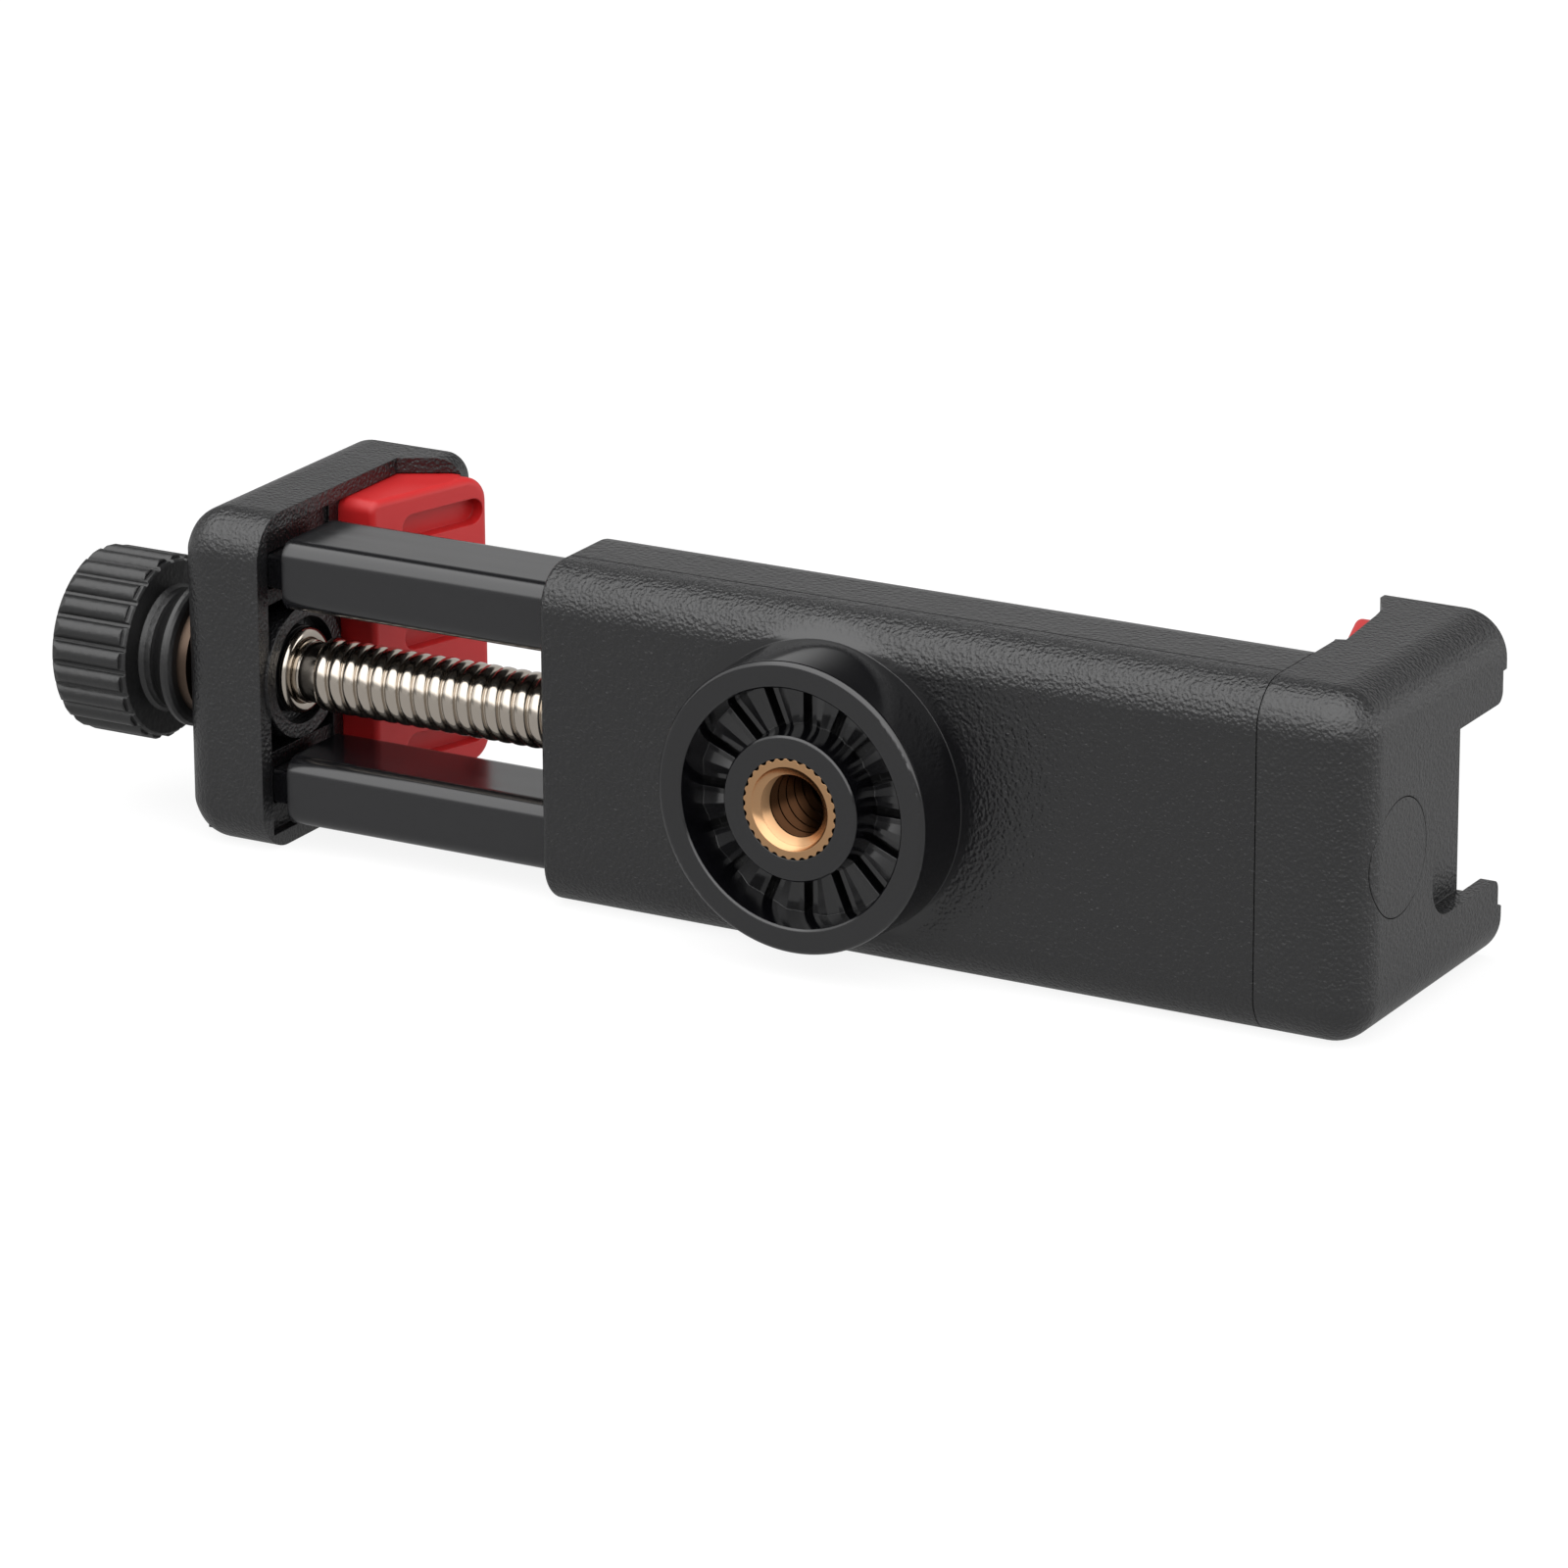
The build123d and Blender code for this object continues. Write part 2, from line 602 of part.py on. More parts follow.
# Rubber pad of the moving jaw
with BuildPart() as moving_jaw_pad:
    pad(left_pad_tip_x, 1, left_lip_x, lip_in)
    pad_details(moving_jaw_pad, left_pad_tip_x, 1)
moving_jaw_pad.part.label = "moving_jaw_pad"
export_step(moving_jaw_pad.part, "parts/moving_jaw_pad.step")

# Rubber pad of the fixed jaw
with BuildPart() as fixed_jaw_pad:
    pad(right_pad_tip_x, -1, right_lip_x, fix_lip_in)
    pad_details(fixed_jaw_pad, right_pad_tip_x, -1)
fixed_jaw_pad.part.label = "fixed_jaw_pad"
export_step(fixed_jaw_pad.part, "parts/fixed_jaw_pad.step")


def arm(side):
    """Sliding arm with a reduced tenon for its socket in the moving jaw."""
    bar(arm_x0, arm_x1, axis_y, side * arm_z, arm_d, arm_h, arm_corner_r)
    bar(tenon_x0, arm_x0 + 0.2, axis_y, side * arm_z, arm_d - 2 * tenon_inset,
        2 * (tap_r + tenon_wall), 0.4)
    rod(tenon_x0 - 1, tenon_x0 + tap_grip + tap_spare, axis_y, side * arm_z, tap_r, Mode.SUBTRACT)
    with BuildSketch(Plane.XY.offset(side * (arm_z - arm_h / 2))) as hole:
        with Locations((arm_x1 - stop_back, axis_y)):
            Circle(tap_r)
    extrude(hole.sketch, amount=side * (stop_len + 0.4), mode=Mode.SUBTRACT)


# Upper sliding arm
with BuildPart() as upper_arm:
    arm(1)
upper_arm.part.label = "upper_arm"
export_step(upper_arm.part, "parts/upper_arm.step")

# Lower sliding arm
with BuildPart() as lower_arm:
    arm(-1)
lower_arm.part.label = "lower_arm"
export_step(lower_arm.part, "parts/lower_arm.step")

# Screws that hold the arms in the moving jaw
with BuildPart() as arm_screws:
    for side in (-1, 1):
        head_x = jaw_x0 + tap_head_sink
        rod(head_x + tap_head_t / 2, tenon_x0 + tap_grip, axis_y, side * arm_z, tap_r)
        rod(head_x, head_x + tap_head_t, axis_y, side * arm_z, tap_head_r)
        for across, along in ((cross_w, cross_len), (cross_len, cross_w)):
            with Locations((head_x + cross_depth / 2 - 0.1, axis_y, side * arm_z)):
                Box(cross_depth + 0.2, across, along, mode=Mode.SUBTRACT)
arm_screws.part.label = "arm_screws"
export_step(arm_screws.part, "parts/arm_screws.step")

# Screws at the arms' inner ends whose heads stop the jaw at its widest
with BuildPart() as stop_screws:
    for side in (-1, 1):
        seat = side * (arm_z - arm_h / 2)
        with BuildSketch(Plane.XY.offset(seat)):
            with Locations((arm_x1 - stop_back, axis_y)):
                Circle(tap_r)
        extrude(amount=side * stop_len)
        with BuildSketch(Plane.XY.offset(seat)):
            with Locations((arm_x1 - stop_back, axis_y)):
                Circle(stop_head_r)
        extrude(amount=-side * stop_head_t)
        with Locations((arm_x1 - stop_back, axis_y, seat - side * stop_head_t)):
            Box(cross_len - 0.2, cross_w, 2 * cross_depth, mode=Mode.SUBTRACT)
stop_screws.part.label = "stop_screws"
export_step(stop_screws.part, "parts/stop_screws.step")

# Lead screw: knob shank, plain journal, ridged thread and end groove
ring_x = boss_face_x - 0.05
groove_half = ring_half + 0.03
end_groove_r = groove_r - 0.2
with BuildPart() as lead_screw:
    outline = [(screw_x0, 0), (screw_x0, shank_r), (shoulder_x, shank_r),
               (shoulder_x, journal_r), (ring_x - groove_half, journal_r),
               (ring_x - groove_half, groove_r), (ring_x + groove_half, groove_r),
               (ring_x + groove_half, collar_r), (ring_x + groove_half + collar_w, collar_r),
               (ring_x + groove_half + collar_w, groove_r), (thread_x0 - 0.1, groove_r),
               (thread_x0, thread_root_r)]
    thread_end = screw_x1 - 1.5
    crest_room = thread_end - thread_x0 - thread_lead - crest_w / 2 - flank_w
    for index in range(int(crest_room / thread_pitch) + 1):
        middle = thread_x0 + thread_lead + index * thread_pitch
        outline += [(middle - crest_w / 2 - flank_w, thread_root_r), (middle - crest_w / 2, thread_r),
                    (middle + crest_w / 2, thread_r), (middle + crest_w / 2 + flank_w, thread_root_r)]
    outline += [(thread_end, thread_root_r), (thread_end, end_groove_r),
                (screw_x1 - 0.7, end_groove_r), (screw_x1 - 0.7, thread_root_r),
                (screw_x1, thread_root_r - 0.3), (screw_x1, 0)]
    turned(outline)
lead_screw.part.label = "lead_screw"
export_step(lead_screw.part, "parts/lead_screw.step")

# Open spring ring that holds the jaw on the screw
with BuildPart() as retaining_ring:
    with BuildSketch(Plane.XY):
        with Locations((ring_x, axis_y + groove_r + 0.06 + ring_tube)):
            Ellipse(ring_half, ring_tube)
    revolve(axis=screw_axis, revolution_arc=338)
retaining_ring.part.label = "retaining_ring"
export_step(retaining_ring.part, "parts/retaining_ring.step")

# Thin washer between the spring ring and the jaw's boss
with BuildPart() as thrust_washer:
    rod(boss_face_x - counterbore_d + 0.05, ring_x - ring_half - 0.05, axis_y, 0,
        thrust_r)
    rod(boss_face_x - counterbore_d - 1, ring_x + 1, axis_y, 0, journal_r + screw_gap,
        Mode.SUBTRACT)
thrust_washer.part.label = "thrust_washer"
export_step(thrust_washer.part, "parts/thrust_washer.step")

# Stop ring at the screw's inner end
with BuildPart() as end_ring:
    rod(screw_x1 - 1.45, screw_x1 - 0.75, axis_y, 0, end_ring_r)
    rod(screw_x1 - 2, screw_x1, axis_y, 0, end_groove_r + 0.05, Mode.SUBTRACT)
    block(screw_x1 - 2, screw_x1, axis_y - 5, axis_y, -0.7, 0.7, Mode.SUBTRACT)
end_ring.part.label = "end_ring"
export_step(end_ring.part, "parts/end_ring.step")

# Ribbed knob moulded on the screw's shank
with BuildPart() as knob:
    with BuildSketch(Plane.YZ.offset(knob_x0)):
        with Locations((axis_y, 0)):
            Circle(rib_valley_r)
            with PolarLocations(knob_r - rib_r, rib_count, start_angle=rib_turn):
                Circle(rib_r)
    extrude(amount=knob_x1 - knob_x0)
    turned([(knob_x0, 0), (knob_x0, knob_r - knob_edge), (knob_x0 + 0.12, knob_r - 0.5),
            (knob_x0 + 0.4, knob_r - 0.16), (knob_x0 + knob_edge, knob_r + 0.01),
            (knob_x1 - rib_end_len - 0.15, knob_r + 0.01),
            (knob_x1 - rib_end_len, knob_r - 0.12), (knob_x1 - rib_end_len, rib_end_r),
            (knob_x1 - 0.15, rib_end_r), (knob_x1, rib_end_r - 0.2), (knob_x1, 0)],
           mode=Mode.INTERSECT)
    flare_x0 = knob_x1 + neck_len
    flare_x1 = collar_x - flange_t
    flare = [(flare_x0 + (flare_x1 - flare_x0) * share,
              neck_r + (flange_r - neck_r) * share ** 1.6) for share in (0.2, 0.4, 0.6, 0.8, 1)]
    turned([(knob_x1 - 0.1, 0), (knob_x1 - 0.1, neck_r + 0.4), (knob_x1 + 0.35, neck_r + 0.08),
            (flare_x0, neck_r)] + flare
           + [(flare_x1 + 0.35, flange_r), (collar_x - 0.3, flange_r - 0.2),
              (collar_x - 0.1, flange_r - 0.55), (collar_x, washer_r), (collar_x, 0)])
    rod(screw_x0 - 0.05, shoulder_x, axis_y, 0, shank_r, Mode.SUBTRACT)
    rod(shoulder_x, jaw_x0 + 1, axis_y, 0, journal_r, Mode.SUBTRACT)
knob.part.label = "knob"
export_step(knob.part, "parts/knob.step")

# Metal washer between the knob and the moving jaw
with BuildPart() as knob_washer:
    rod(collar_x, jaw_x0 - fit_gap, axis_y, 0, washer_r)
    rod(jaw_x0 - washer_t - 1, jaw_x0 + 1, axis_y, 0, journal_r + 0.05, Mode.SUBTRACT)
knob_washer.part.label = "knob_washer"
export_step(knob_washer.part, "parts/knob_washer.step")
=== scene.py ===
# %% [markdown]
# # Phone holder with a tripod socket
# A clamp for a phone: two half shells hold a fixed jaw, and a second jaw slides on
# two arms when the ribbed knob turns a lead screw. The CAD model gives every piece
# its size and place. This lesson loads it, adds the two pieces whose threads need a
# real helix, and gives each surface the finish that it has on the real object.

# %% Load the model
import bpy
from math import cos, pi, radians, sin
from mathutils import Matrix, Vector


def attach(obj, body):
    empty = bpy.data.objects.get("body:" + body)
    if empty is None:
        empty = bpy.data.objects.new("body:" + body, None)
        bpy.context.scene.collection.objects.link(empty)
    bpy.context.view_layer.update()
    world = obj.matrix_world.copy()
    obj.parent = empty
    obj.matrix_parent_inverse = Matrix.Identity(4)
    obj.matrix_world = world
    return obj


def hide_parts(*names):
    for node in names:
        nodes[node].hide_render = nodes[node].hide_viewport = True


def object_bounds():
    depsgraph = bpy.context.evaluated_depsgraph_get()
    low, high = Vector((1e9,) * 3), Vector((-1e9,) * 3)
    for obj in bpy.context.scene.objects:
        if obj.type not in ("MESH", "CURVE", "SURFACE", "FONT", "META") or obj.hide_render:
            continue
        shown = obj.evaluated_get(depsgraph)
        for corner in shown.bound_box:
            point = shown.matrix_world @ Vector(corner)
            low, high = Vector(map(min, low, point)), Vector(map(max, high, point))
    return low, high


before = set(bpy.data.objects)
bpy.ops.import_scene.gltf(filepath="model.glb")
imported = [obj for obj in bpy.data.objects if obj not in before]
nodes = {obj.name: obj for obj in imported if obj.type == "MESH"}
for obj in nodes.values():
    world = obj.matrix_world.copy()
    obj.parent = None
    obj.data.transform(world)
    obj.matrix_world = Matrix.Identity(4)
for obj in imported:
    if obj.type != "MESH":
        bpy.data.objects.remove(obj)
cad_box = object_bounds()

# %% [markdown]
# ## Camera
# The photograph looks down on the tripod side from the right with a long lens, so
# parallel edges nearly stay parallel. The camera is placed by its azimuth,
# elevation and distance from a point near the middle of the hub.

# %% Camera
MM = 0.001
azimuth = radians(29.635)
elevation = radians(18.531)
roll = radians(-0.2995)
distance = 614.48 * MM
aim = (-0.4003 * MM, 2.1546 * MM)
lens_px = 8148.8

toward = Vector((sin(azimuth) * cos(elevation), -cos(azimuth) * cos(elevation), sin(elevation)))
level = Vector((cos(azimuth), sin(azimuth), 0))
upward = toward.cross(level)
right = level * cos(roll) + upward * sin(roll)
top = upward * cos(roll) - level * sin(roll)
eye = toward * distance + right * aim[0] + top * aim[1] - Vector((0, 0, 0.2 * MM))

camera_data = bpy.data.cameras.new("camera")
camera_data.sensor_width = 36
camera_data.lens = lens_px * 36 / 1600
camera_data.clip_start = 0.01
camera = bpy.data.objects.new("camera", camera_data)
bpy.context.scene.collection.objects.link(camera)
turned = Matrix((right, top, toward)).transposed().to_4x4()
camera.matrix_world = Matrix.Translation(eye) @ turned
bpy.context.scene.camera = camera
bpy.context.scene.view_settings.view_transform = "Standard"
print("camera at", [round(v, 4) for v in eye], "lens", round(camera_data.lens, 2))

# %% [markdown]
# ## Helpers for materials
# A colour is written as the hex value that a colour picker shows, and turned to the
# linear numbers that shaders use. One function adds a node, sets its properties and
# fills its sockets with values or with links from other nodes. The shell's finish and
# the insert's painted shade change near the hub's axis, so another helper measures how
# far a point is from that axis.


# %% Material helpers
def linear(code):
    """Linear RGBA of a six-digit sRGB hex colour."""
    parts = [int(code[i:i + 2], 16) / 255 for i in (0, 2, 4)]
    return [c / 12.92 if c <= 0.04045 else ((c + 0.055) / 1.055) ** 2.4 for c in parts] + [1]


def add(tree, kind, inputs=None, **settings):
    """Add a node with its settings, and set or link its inputs."""
    node = tree.nodes.new(kind)
    for key, value in settings.items():
        setattr(node, key, value)
    for key, value in (inputs or {}).items():
        if isinstance(value, bpy.types.NodeSocket):
            tree.links.new(value, node.inputs[key])
        else:
            node.inputs[key].default_value = value
    return node


def new_material(name):
    """Empty node material with its output, ready for a shader."""
    material = bpy.data.materials.new(name)
    material.use_nodes = True
    material.node_tree.nodes.clear()
    output = material.node_tree.nodes.new("ShaderNodeOutputMaterial")
    return material, material.node_tree, output.inputs["Surface"]


def round_hub(tree, place):
    """Distance from the hub's axis and place along it, for masks in a material."""
    split = add(tree, "ShaderNodeSeparateXYZ", {"Vector": place})
    flat = add(tree, "ShaderNodeCombineXYZ", {"X": split.outputs["X"],
                                              "Y": split.outputs["Z"]})
    radius = add(tree, "ShaderNodeVectorMath", {0: flat.outputs["Vector"]},
                 operation="LENGTH")
    return radius.outputs["Value"], split.outputs["Y"]


def dress(material, *names):
    """Give a material to CAD pieces."""
    for name in names:
        slots = nodes[name].data.materials
        slots.clear()
        slots.append(material)


# %% [markdown]
# ## Moulded black plastic
# The back shell and both jaws are ABS moulded in a spark-eroded tool. The tool
# leaves a fine pebble grain, about 0.3 mm across, that breaks up the highlights on
# the rounded edges. The hub inside the same moulding is polished smoother, so the
# grain fades out near its axis. The front shell, the knob and the small washer behind
# it have only a faint tooth.


# %% Grained ABS
def grained_abs(name, colour, roughness, grain_mm, depth, hub=False):
    """Black ABS with a moulded pebble grain; polished within the hub if asked."""
    hub_roughness = 0.12
    material, tree, surface = new_material(name)
    place = add(tree, "ShaderNodeTexCoord").outputs["Object"]
    cell = add(tree, "ShaderNodeTexVoronoi", {"Vector": place, "Scale": 1000 / grain_mm,
                                              "Smoothness": 0.6}, feature="SMOOTH_F1")
    fine = add(tree, "ShaderNodeTexNoise", {"Vector": place, "Scale": 1600 / grain_mm,
                                            "Detail": 3.0})
    height = add(tree, "ShaderNodeMath", {0: cell.outputs["Distance"],
                                          1: fine.outputs["Fac"]}, operation="ADD")
    wide = add(tree, "ShaderNodeTexNoise", {"Vector": place, "Scale": 90.0, "Detail": 2.0})
    gloss = add(tree, "ShaderNodeMapRange", {"Value": wide.outputs["Fac"], 3: roughness - 0.04,
                                             4: roughness + 0.05})
    strength = depth
    rough = gloss.outputs["Result"]
    if hub:
        radius, along = round_hub(tree, place)
        outside = add(tree, "ShaderNodeMapRange", {"Value": radius, 1: 12.3 * MM,
                                                   2: 13.6 * MM})
        behind = add(tree, "ShaderNodeMapRange", {"Value": along, 1: 5.3 * MM, 2: 5.6 * MM})
        grained = add(tree, "ShaderNodeMath", {0: outside.outputs["Result"],
                                               1: behind.outputs["Result"]},
                      operation="MULTIPLY")
        strength = add(tree, "ShaderNodeMath", {0: grained.outputs["Value"], 1: depth},
                       operation="MULTIPLY").outputs["Value"]
        rough = add(tree, "ShaderNodeMapRange", {
            "Value": grained.outputs["Value"], 3: hub_roughness, 4: rough}).outputs["Result"]
    edge = add(tree, "ShaderNodeBevel", {"Radius": 0.12 * MM}, samples=4)
    bump = add(tree, "ShaderNodeBump", {"Height": height.outputs["Value"],
                                        "Strength": strength, "Distance": 0.14 * MM,
                                        "Normal": edge.outputs["Normal"]})
    shader = add(tree, "ShaderNodeBsdfPrincipled", {
        "Base Color": linear(colour), "Roughness": rough, "IOR": 1.65,
        "Normal": bump.outputs["Normal"]})
    tree.links.new(shader.outputs["BSDF"], surface)
    return material


shell_abs = grained_abs("grained_abs_shell", "070709", 0.33, 0.32, 0.75, hub=True)
jaw_abs = grained_abs("grained_abs_jaws", "070709", 0.34, 0.32, 0.5)
front_abs = grained_abs("satin_abs_front", "09090a", 0.34, 0.42, 0.35)
knob_abs = grained_abs("satin_abs_knob", "050506", 0.42, 0.5, 0.15)
dress(shell_abs, "back_housing")
dress(jaw_abs, "fixed_jaw", "end_plug", "moving_jaw")
dress(front_abs, "front_housing", "guide_block")
dress(knob_abs, "knob", "thrust_washer")
print("grained and satin ABS on shells, jaws and knob")

# %% [markdown]
# ## Glossy arms
# The two arms are moulded in a polished tool. They are almost mirror-like, with
# faint long drag marks from sliding in and out of the body.


# %% Polished ABS
def polished_abs(name, colour, roughness):
    """Glossy black ABS with faint marks drawn out along X."""
    material, tree, surface = new_material(name)
    place = add(tree, "ShaderNodeTexCoord").outputs["Object"]
    drawn = add(tree, "ShaderNodeMapping", {"Vector": place, "Scale": (40, 900, 900)})
    marks = add(tree, "ShaderNodeTexNoise", {"Vector": drawn.outputs["Vector"],
                                             "Scale": 1.0, "Detail": 4.0})
    gloss = add(tree, "ShaderNodeMapRange", {"Value": marks.outputs["Fac"],
                                             3: roughness - 0.05, 4: roughness + 0.08})
    edge = add(tree, "ShaderNodeBevel", {"Radius": 0.1 * MM}, samples=4)
    bump = add(tree, "ShaderNodeBump", {"Height": marks.outputs["Fac"], "Strength": 0.06,
                                        "Distance": 0.02 * MM,
                                        "Normal": edge.outputs["Normal"]})
    shader = add(tree, "ShaderNodeBsdfPrincipled", {
        "Base Color": linear(colour), "Roughness": gloss.outputs["Result"], "IOR": 1.6,
        "Normal": bump.outputs["Normal"]})
    tree.links.new(shader.outputs["BSDF"], surface)
    return material


arm_abs = polished_abs("polished_abs_arms", "111113", 0.16)
dress(arm_abs, "upper_arm", "lower_arm")
print("polished ABS on the arms")

# %% [markdown]
# ## Red rubber
# The grip pads are a soft thermoplastic rubber. It is matt, a saturated red that
# turns deep in the slots, and has a very faint moulded tooth.

# %% Rubber
rubber, tree, surface = new_material("red_rubber")
place = add(tree, "ShaderNodeTexCoord").outputs["Object"]
tooth = add(tree, "ShaderNodeTexNoise", {"Vector": place, "Scale": 2500.0, "Detail": 2.0})
cloud = add(tree, "ShaderNodeTexNoise", {"Vector": place, "Scale": 120.0, "Detail": 2.0})
tint = add(tree, "ShaderNodeMix", {0: cloud.outputs["Fac"], 6: linear("a81214"),
                                   7: linear("b41a1c")}, data_type="RGBA")
edge = add(tree, "ShaderNodeBevel", {"Radius": 0.15 * MM}, samples=4)
bump = add(tree, "ShaderNodeBump", {"Height": tooth.outputs["Fac"], "Strength": 0.1,
                                    "Distance": 0.02 * MM, "Normal": edge.outputs["Normal"]})
shader = add(tree, "ShaderNodeBsdfPrincipled", {
    "Base Color": tint.outputs[2], "Roughness": 0.48, "IOR": 1.5,
    "Normal": bump.outputs["Normal"]})
tree.links.new(shader.outputs["BSDF"], surface)
dress(rubber, "moving_jaw_pad", "fixed_jaw_pad")
print("rubber on the pads")

# %% [markdown]
# ## Metals
# The lead screw and its spring ring are steel with bright nickel plate, the tripod
# insert and the nut are turned brass, and the small fasteners are dull zinc. Each
# is a metal shader with its own colour; fine turning marks vary the roughness. Shade
# is painted into the insert's thread below its mouth, darker the deeper it goes.


# %% Metal
def turned_metal(name, colour, roughness, spread, axis_scale, bore_mm=0):
    """Metal with turning marks stretched by axis_scale, and painted shade inside a bore along
    Y.
    """
    # Colour of the painted shade deep in the bore.
    bore_shade_colour = "3a2618"
    material, tree, surface = new_material(name)
    place = add(tree, "ShaderNodeTexCoord").outputs["Object"]
    drawn = add(tree, "ShaderNodeMapping", {"Vector": place, "Scale": axis_scale})
    marks = add(tree, "ShaderNodeTexNoise", {"Vector": drawn.outputs["Vector"],
                                             "Scale": 1.0, "Detail": 4.0})
    gloss = add(tree, "ShaderNodeMapRange", {"Value": marks.outputs["Fac"],
                                             3: roughness - spread, 4: roughness + spread})
    edge = add(tree, "ShaderNodeBevel", {"Radius": 0.05 * MM}, samples=4)
    shader = add(tree, "ShaderNodeBsdfPrincipled", {
        "Base Color": linear(colour), "Metallic": 1.0, "Roughness": gloss.outputs["Result"],
        "Normal": edge.outputs["Normal"]})
    if bore_mm:
        # Painted shade: the base colour darkens inside the bore and deeper along it, standing
        # in for the shade in the thread.
        radius, along = round_hub(tree, place)
        inside = add(tree, "ShaderNodeMapRange", {"Value": radius, 1: (bore_mm + 0.1) * MM,
                                                  2: bore_mm * MM})
        deep = add(tree, "ShaderNodeMapRange", {"Value": along, 1: 0.6 * MM, 2: 2.2 * MM})
        shade = add(tree, "ShaderNodeMath", {0: inside.outputs["Result"],
                                             1: deep.outputs["Result"]}, operation="MULTIPLY")
        painted_bore_shade = add(tree, "ShaderNodeMix", {0: shade.outputs["Value"], 6: linear(colour),
                                              7: linear(bore_shade_colour)}, data_type="RGBA")
        tree.links.new(painted_bore_shade.outputs[2], shader.inputs["Base Color"])
    tree.links.new(shader.outputs["BSDF"], surface)
    return material


nickel = turned_metal("nickel_plated_steel", "bdb4a9", 0.14, 0.04, (6000, 500, 500))
brass = turned_metal("turned_brass", "c49a72", 0.24, 0.08, (500, 6000, 500), bore_mm=3.25)
zinc = turned_metal("zinc_plated_screws", "8d8f92", 0.35, 0.08, (2000, 2000, 2000))
bronzed = turned_metal("passivated_steel_washer", "5a4c42", 0.38, 0.08, (2000, 900, 900))
dress(nickel, "retaining_ring", "lead_screw")
dress(brass, "tripod_insert", "drive_nut")
dress(zinc, "housing_screws", "arm_screws", "stop_screws", "end_ring")
dress(bronzed, "knob_washer")
print("metals on screws, rings, nut and insert")

# %% [markdown]
# ## Helpers for turned and threaded pieces
# A thread is one small outline swept round an axis while it moves along it. The
# outline is drawn vertex by vertex, the Screw modifier sweeps it, and a bisect at
# each end cuts the helix flat and closes it, as a lathe faces off a bar.


# %% Outline and sweep helpers
def draw_outline(name, points):
    """New mesh object whose edges join the points in order."""
    bpy.ops.object.select_all(action="DESELECT")
    bpy.ops.mesh.primitive_plane_add(size=0.001)
    piece = bpy.context.object
    piece.name = piece.data.name = name
    bpy.ops.object.mode_set(mode="EDIT")
    bpy.ops.mesh.select_all(action="SELECT")
    bpy.ops.mesh.merge(type="CENTER")
    bpy.ops.transform.translate(value=points[0])
    for start, end in zip(points, points[1:]):
        step = [b - a for a, b in zip(start, end)]
        bpy.ops.mesh.extrude_region_move(TRANSFORM_OT_translate={"value": step})
    bpy.ops.object.mode_set(mode="OBJECT")
    return piece


def sweep(piece, axis, steps, turns=1, pitch=0):
    """Sweep an outline round an axis through the origin and weld it."""
    screw = piece.modifiers.new("sweep", "SCREW")
    screw.axis = axis
    screw.steps = screw.render_steps = steps
    screw.iterations = turns
    screw.screw_offset = pitch
    screw.use_smooth_shade = True
    bpy.ops.object.modifier_apply(modifier=screw.name)
    bpy.ops.object.mode_set(mode="EDIT")
    bpy.ops.mesh.select_all(action="SELECT")
    bpy.ops.mesh.remove_doubles(threshold=0.001 * MM)
    bpy.ops.mesh.normals_make_consistent(inside=False)
    bpy.ops.object.mode_set(mode="OBJECT")


def face_off(piece, point, normal):
    """Cut the piece flat at a plane, keep what lies behind it and close the cut."""
    # The tolerance has to be far below a tenth of a millimetre at this size.
    bpy.ops.object.mode_set(mode="EDIT")
    bpy.ops.mesh.select_all(action="SELECT")
    bpy.ops.mesh.bisect(plane_co=point, plane_no=normal, threshold=0.0001 * MM,
                        use_fill=True, clear_outer=True)
    bpy.ops.object.mode_set(mode="OBJECT")


def shift(piece, offset):
    """Move the mesh itself, so that the object stays at the origin."""
    piece.data.transform(Matrix.Translation(offset))


def threaded_rod(name, axis, start, length, pitch, root, crest, shape, steps):
    """Closed helical rod along X or Y; shape lists (share of pitch, share of depth)."""
    turns = int(length / pitch) + 3
    points = []
    for along, depth in shape:
        radius = root + (crest - root) * depth
        place = start - 1.5 * pitch + along * pitch
        points.append((place, radius, 0) if axis == "X" else (radius, place, 0))
    rod = draw_outline(name, points)
    sweep(rod, axis, steps, turns, pitch)
    ahead = Vector((1, 0, 0)) if axis == "X" else Vector((0, 1, 0))
    face_off(rod, ahead * (start + length), ahead)
    face_off(rod, ahead * start, -ahead)
    bpy.ops.object.mode_set(mode="EDIT")
    bpy.ops.mesh.select_all(action="SELECT")
    bpy.ops.mesh.normals_make_consistent(inside=False)
    bpy.ops.object.mode_set(mode="OBJECT")
    print(name, "faces", len(rod.data.polygons))
    return rod


# %% [markdown]
# ## Lead screw
# The screw has a coarse rolled thread with rounded crests and a narrow groove, 1.35
# mm from turn to turn. A plain neck joins it to the groove that holds the spring
# ring, and the journal runs on through the jaw into the knob.

# %% Lead screw
axis_y = 11.9 * MM
thread_start = -49.4 * MM
thread_length = 50.15 * MM
rolled = [(0.0, 0.25), (0.04, 0.3), (0.1, 0.62), (0.18, 0.82), (0.3, 0.95), (0.5, 1.0),
          (0.7, 0.95), (0.82, 0.82), (0.9, 0.62), (0.96, 0.3), (1.0, 0.25)]
thread = threaded_rod("lead_screw_thread", "X", thread_start, thread_length, 1.35 * MM,
                      2.5 * MM, 3.05 * MM, rolled, 40)
lathe = [(-69.5, 0), (-69.5, 2.3), (-62.4, 2.3), (-62.4, 2.85), (-52.4, 2.85), (-52.4, 2.4),
         (-51.48, 2.4), (-51.48, 2.6), (-51.08, 2.6), (-51.0, 2.5), (-49.3, 2.5), (-49.25, 0)]
shaft = draw_outline("lead_screw_shaft", [(x * MM, r * MM, 0) for x, r in lathe])
sweep(shaft, "X", 64)
tail = [(0.7, 0), (0.7, 2.2), (1.5, 2.2), (1.5, 2.5), (2.0, 2.5), (2.2, 2.2), (2.2, 0)]
end = draw_outline("lead_screw_end", [(x * MM, r * MM, 0) for x, r in tail])
sweep(end, "X", 48)
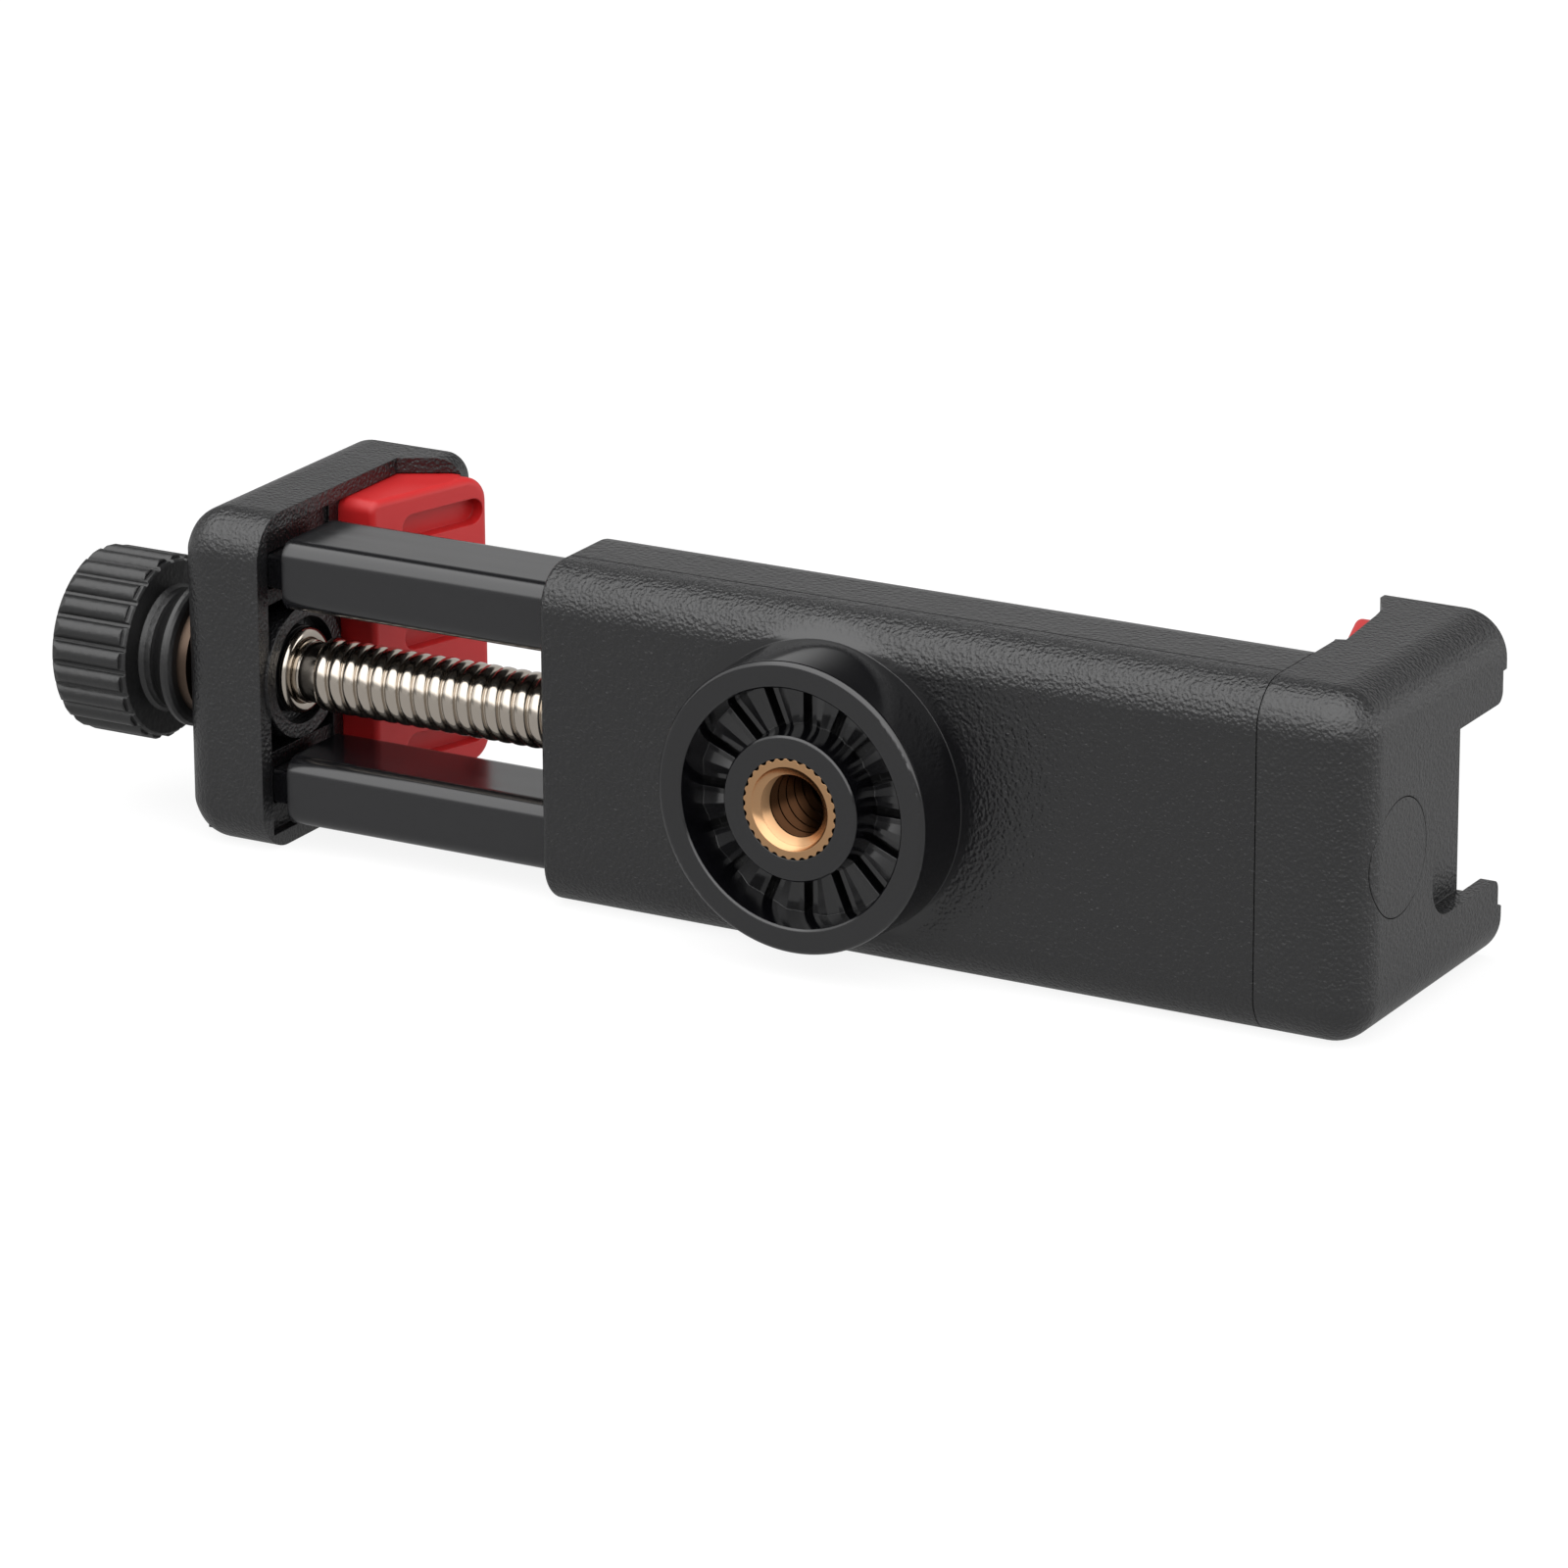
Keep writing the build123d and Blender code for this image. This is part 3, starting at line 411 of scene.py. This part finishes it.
bpy.ops.object.select_all(action="DESELECT")
for part in (thread, shaft, end):
    part.select_set(True)
bpy.context.view_layer.objects.active = thread
bpy.ops.object.join()
bpy.ops.object.shade_smooth_by_angle(angle=radians(35))
shift(thread, (0, axis_y, 0))
thread.data.materials.clear()
thread.data.materials.append(nickel)
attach(thread, "turning_screw")
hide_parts("lead_screw")
print("lead screw triangles", sum(len(p.vertices) - 2 for p in thread.data.polygons))

# %% [markdown]
# ## Tripod insert
# The insert is a brass bush with a knurled outside, so that it can't turn in the
# plastic, a countersunk mouth and a quarter-inch thread of twenty turns to the
# inch. The bush is extruded from a toothed outline, and a tap-shaped rod is cut out
# of it, as a real tap would.

# %% Tripod insert
teeth = 31
tooth_r = 4.08
valley_r = 3.9
bush_length = 8 * MM
outline = []
for index in range(teeth * 4):
    angle = 2 * pi * index / (teeth * 4)
    radius = (tooth_r, tooth_r, valley_r, valley_r)[index % 4] * MM
    outline.append((radius * cos(angle), 0, radius * sin(angle)))
bush = draw_outline("tripod_insert_threaded", outline)
bpy.ops.object.mode_set(mode="EDIT")
bpy.ops.mesh.select_all(action="SELECT")
bpy.ops.mesh.edge_face_add()
bpy.ops.mesh.extrude_region_move(TRANSFORM_OT_translate={"value": (0, bush_length, 0)})
bpy.ops.mesh.select_all(action="SELECT")
bpy.ops.mesh.normals_make_consistent(inside=False)
bpy.ops.object.mode_set(mode="OBJECT")
cut = [(0.0, 0.0), (0.08, 0.0), (0.48, 1.0), (0.56, 1.0), (0.96, 0.0), (1.0, 0.0)]
tap = threaded_rod("tap", "Y", -1.0 * MM, 10 * MM, 1.27 * MM, 2.58 * MM, 3.2 * MM, cut, 48)
mouth = draw_outline("mouth", [(0, -0.5 * MM, 0), (3.5 * MM, -0.5 * MM, 0), (3.4 * MM, 0, 0),
                               (3.2 * MM, 0.3 * MM, 0), (2.5 * MM, 0.75 * MM, 0),
                               (0, 0.75 * MM, 0)])
sweep(mouth, "Y", 64)
for cutter in (tap, mouth):
    cutting = bush.modifiers.new("cut", "BOOLEAN")
    cutting.object = cutter
    cutting.solver = "EXACT"
    bpy.ops.object.select_all(action="DESELECT")
    bush.select_set(True)
    bpy.context.view_layer.objects.active = bush
    bpy.ops.object.modifier_apply(modifier=cutting.name)
    bpy.data.objects.remove(cutter)
bpy.ops.object.shade_smooth_by_angle(angle=radians(30))
bush.data.materials.clear()
bush.data.materials.append(brass)
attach(bush, "holder")
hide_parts("tripod_insert")
print("insert triangles", sum(len(p.vertices) - 2 for p in bush.data.polygons))

# %% [markdown]
# ## Floor and light
# Black plastic shows almost nothing but its surroundings, so the room matters more
# than the lamps. A pale floor gives the even grey of the front and end, a wide bright
# arch in front and overhead draws the band along the rounded edges, and a dim gap
# behind it ends that band sharply where the top face begins. Camera rays see the
# floor and the world as white, while the object mirrors them as a mid grey.

# %% Floor
floor_z = cad_box[0][2]
glow_share = 0.85
mirrored = 0.42
bpy.ops.object.select_all(action="DESELECT")
bpy.ops.mesh.primitive_plane_add(size=6, location=(0, 0, floor_z))
floor = bpy.context.object
floor.name = "floor"
paper, tree, surface = new_material("white_paper")
path = add(tree, "ShaderNodeLightPath")
seen = add(tree, "ShaderNodeMath", {0: path.outputs["Is Camera Ray"],
                                    1: path.outputs["Is Glossy Ray"]}, operation="MAXIMUM")
share = add(tree, "ShaderNodeMath", {0: seen.outputs["Value"], 1: glow_share},
            operation="MULTIPLY")
matt = add(tree, "ShaderNodeBsdfDiffuse", {"Color": linear("f2f2f2")})
level = add(tree, "ShaderNodeMapRange", {"Value": path.outputs["Is Camera Ray"],
                                         3: mirrored, 4: 1.03})
white = add(tree, "ShaderNodeEmission", {"Color": (1, 1, 1, 1),
                                         "Strength": level.outputs["Result"]})
both = add(tree, "ShaderNodeMixShader", {0: share.outputs["Value"],
                                         1: matt.outputs["BSDF"],
                                         2: white.outputs["Emission"]})
tree.links.new(both.outputs["Shader"], surface)
floor.data.materials.append(paper)
print("floor at", round(floor_z * 1000, 2), "mm")

# %% [markdown]
# ## Room
# The world stands for white walls and a ceiling. One ramp follows the angle from the
# horizon in front (0 degrees) over the top (90) to the horizon behind (180), a
# second one dims the far left and right, and their product is the light.

# %% Room
arch_light = 2.7
world = bpy.data.worlds.new("studio")
bpy.context.scene.world = world
world.use_nodes = True
tree = world.node_tree
tree.nodes.clear()
path = add(tree, "ShaderNodeLightPath")
direction = add(tree, "ShaderNodeTexCoord").outputs["Generated"]
parts = add(tree, "ShaderNodeSeparateXYZ", {"Vector": direction})


def ramp(value, stops):
    """Grey colour ramp from (angle or place, grey) pairs."""
    node = add(tree, "ShaderNodeValToRGB", {"Fac": value})
    points = node.color_ramp.elements
    while len(points) < len(stops):
        points.new(1.0)
    for point, (place, grey) in zip(points, stops):
        point.position = place
        point.color = (grey, grey, grey, 1)
    return node.outputs["Color"]


ahead = add(tree, "ShaderNodeMath", {0: parts.outputs["Y"], 1: -1.0}, operation="MULTIPLY")
climb = add(tree, "ShaderNodeMath", {0: parts.outputs["Z"], 1: ahead.outputs["Value"]},
            operation="ARCTAN2")
share = add(tree, "ShaderNodeMath", {0: climb.outputs["Value"], 1: pi}, operation="DIVIDE")
arch = ramp(share.outputs["Value"], [(angle / 180, grey) for angle, grey in (
    (0, 0.22), (14, 0.24), (24, 1.0), (104, 1.0), (113, 0.02), (143, 0.02), (152, 0.25),
    (180, 0.25))])
across = add(tree, "ShaderNodeMapRange", {"Value": parts.outputs["X"], 1: -1.0, 2: 1.0})
sides = ramp(across.outputs["Result"], ((0.0, 0.45), (0.12, 0.5), (0.22, 1.0), (0.75, 1.0),
                                        (1.0, 0.6)))
wide = add(tree, "ShaderNodeMix", {0: 1.0, 6: arch, 7: sides}, data_type="RGBA",
           blend_type="MULTIPLY")
lit = add(tree, "ShaderNodeMix", {0: 1.0, 6: wide.outputs[2], 7: (arch_light,) * 3 + (1,)},
          data_type="RGBA", blend_type="MULTIPLY")
camera_only = add(tree, "ShaderNodeMix", {0: path.outputs["Is Camera Ray"],
                                          6: lit.outputs[2], 7: (1, 1, 1, 1)},
                  data_type="RGBA")
glow = add(tree, "ShaderNodeBackground", {"Color": camera_only.outputs[2]})
add(tree, "ShaderNodeOutputWorld", {"Surface": glow.outputs["Background"]})
print("world nodes:", len(tree.nodes))

# %% [markdown]
# ## Lamp
# One weak softbox at the right lifts the fixed jaw's end face and gives the floor its
# faint shadow.


# %% Lamps
def softbox(name, place, target, size, power):
    """Rectangular lamp at a place, aimed at a target; sizes in metres."""
    data = bpy.data.lights.new(name, "AREA")
    data.shape = "RECTANGLE"
    data.size, data.size_y = size
    data.energy = power
    lamp = bpy.data.objects.new(name, data)
    bpy.context.scene.collection.objects.link(lamp)
    aimed = Vector(target) - Vector(place)
    lamp.matrix_world = (Matrix.Translation(place)
                         @ aimed.to_track_quat("-Z", "Y").to_matrix().to_4x4())


softbox("right_side", (0.6, 0.35, 0.1), (0, 0, 0), (0.4, 0.3), 0.8)
print("lamps:", len(bpy.data.lights))
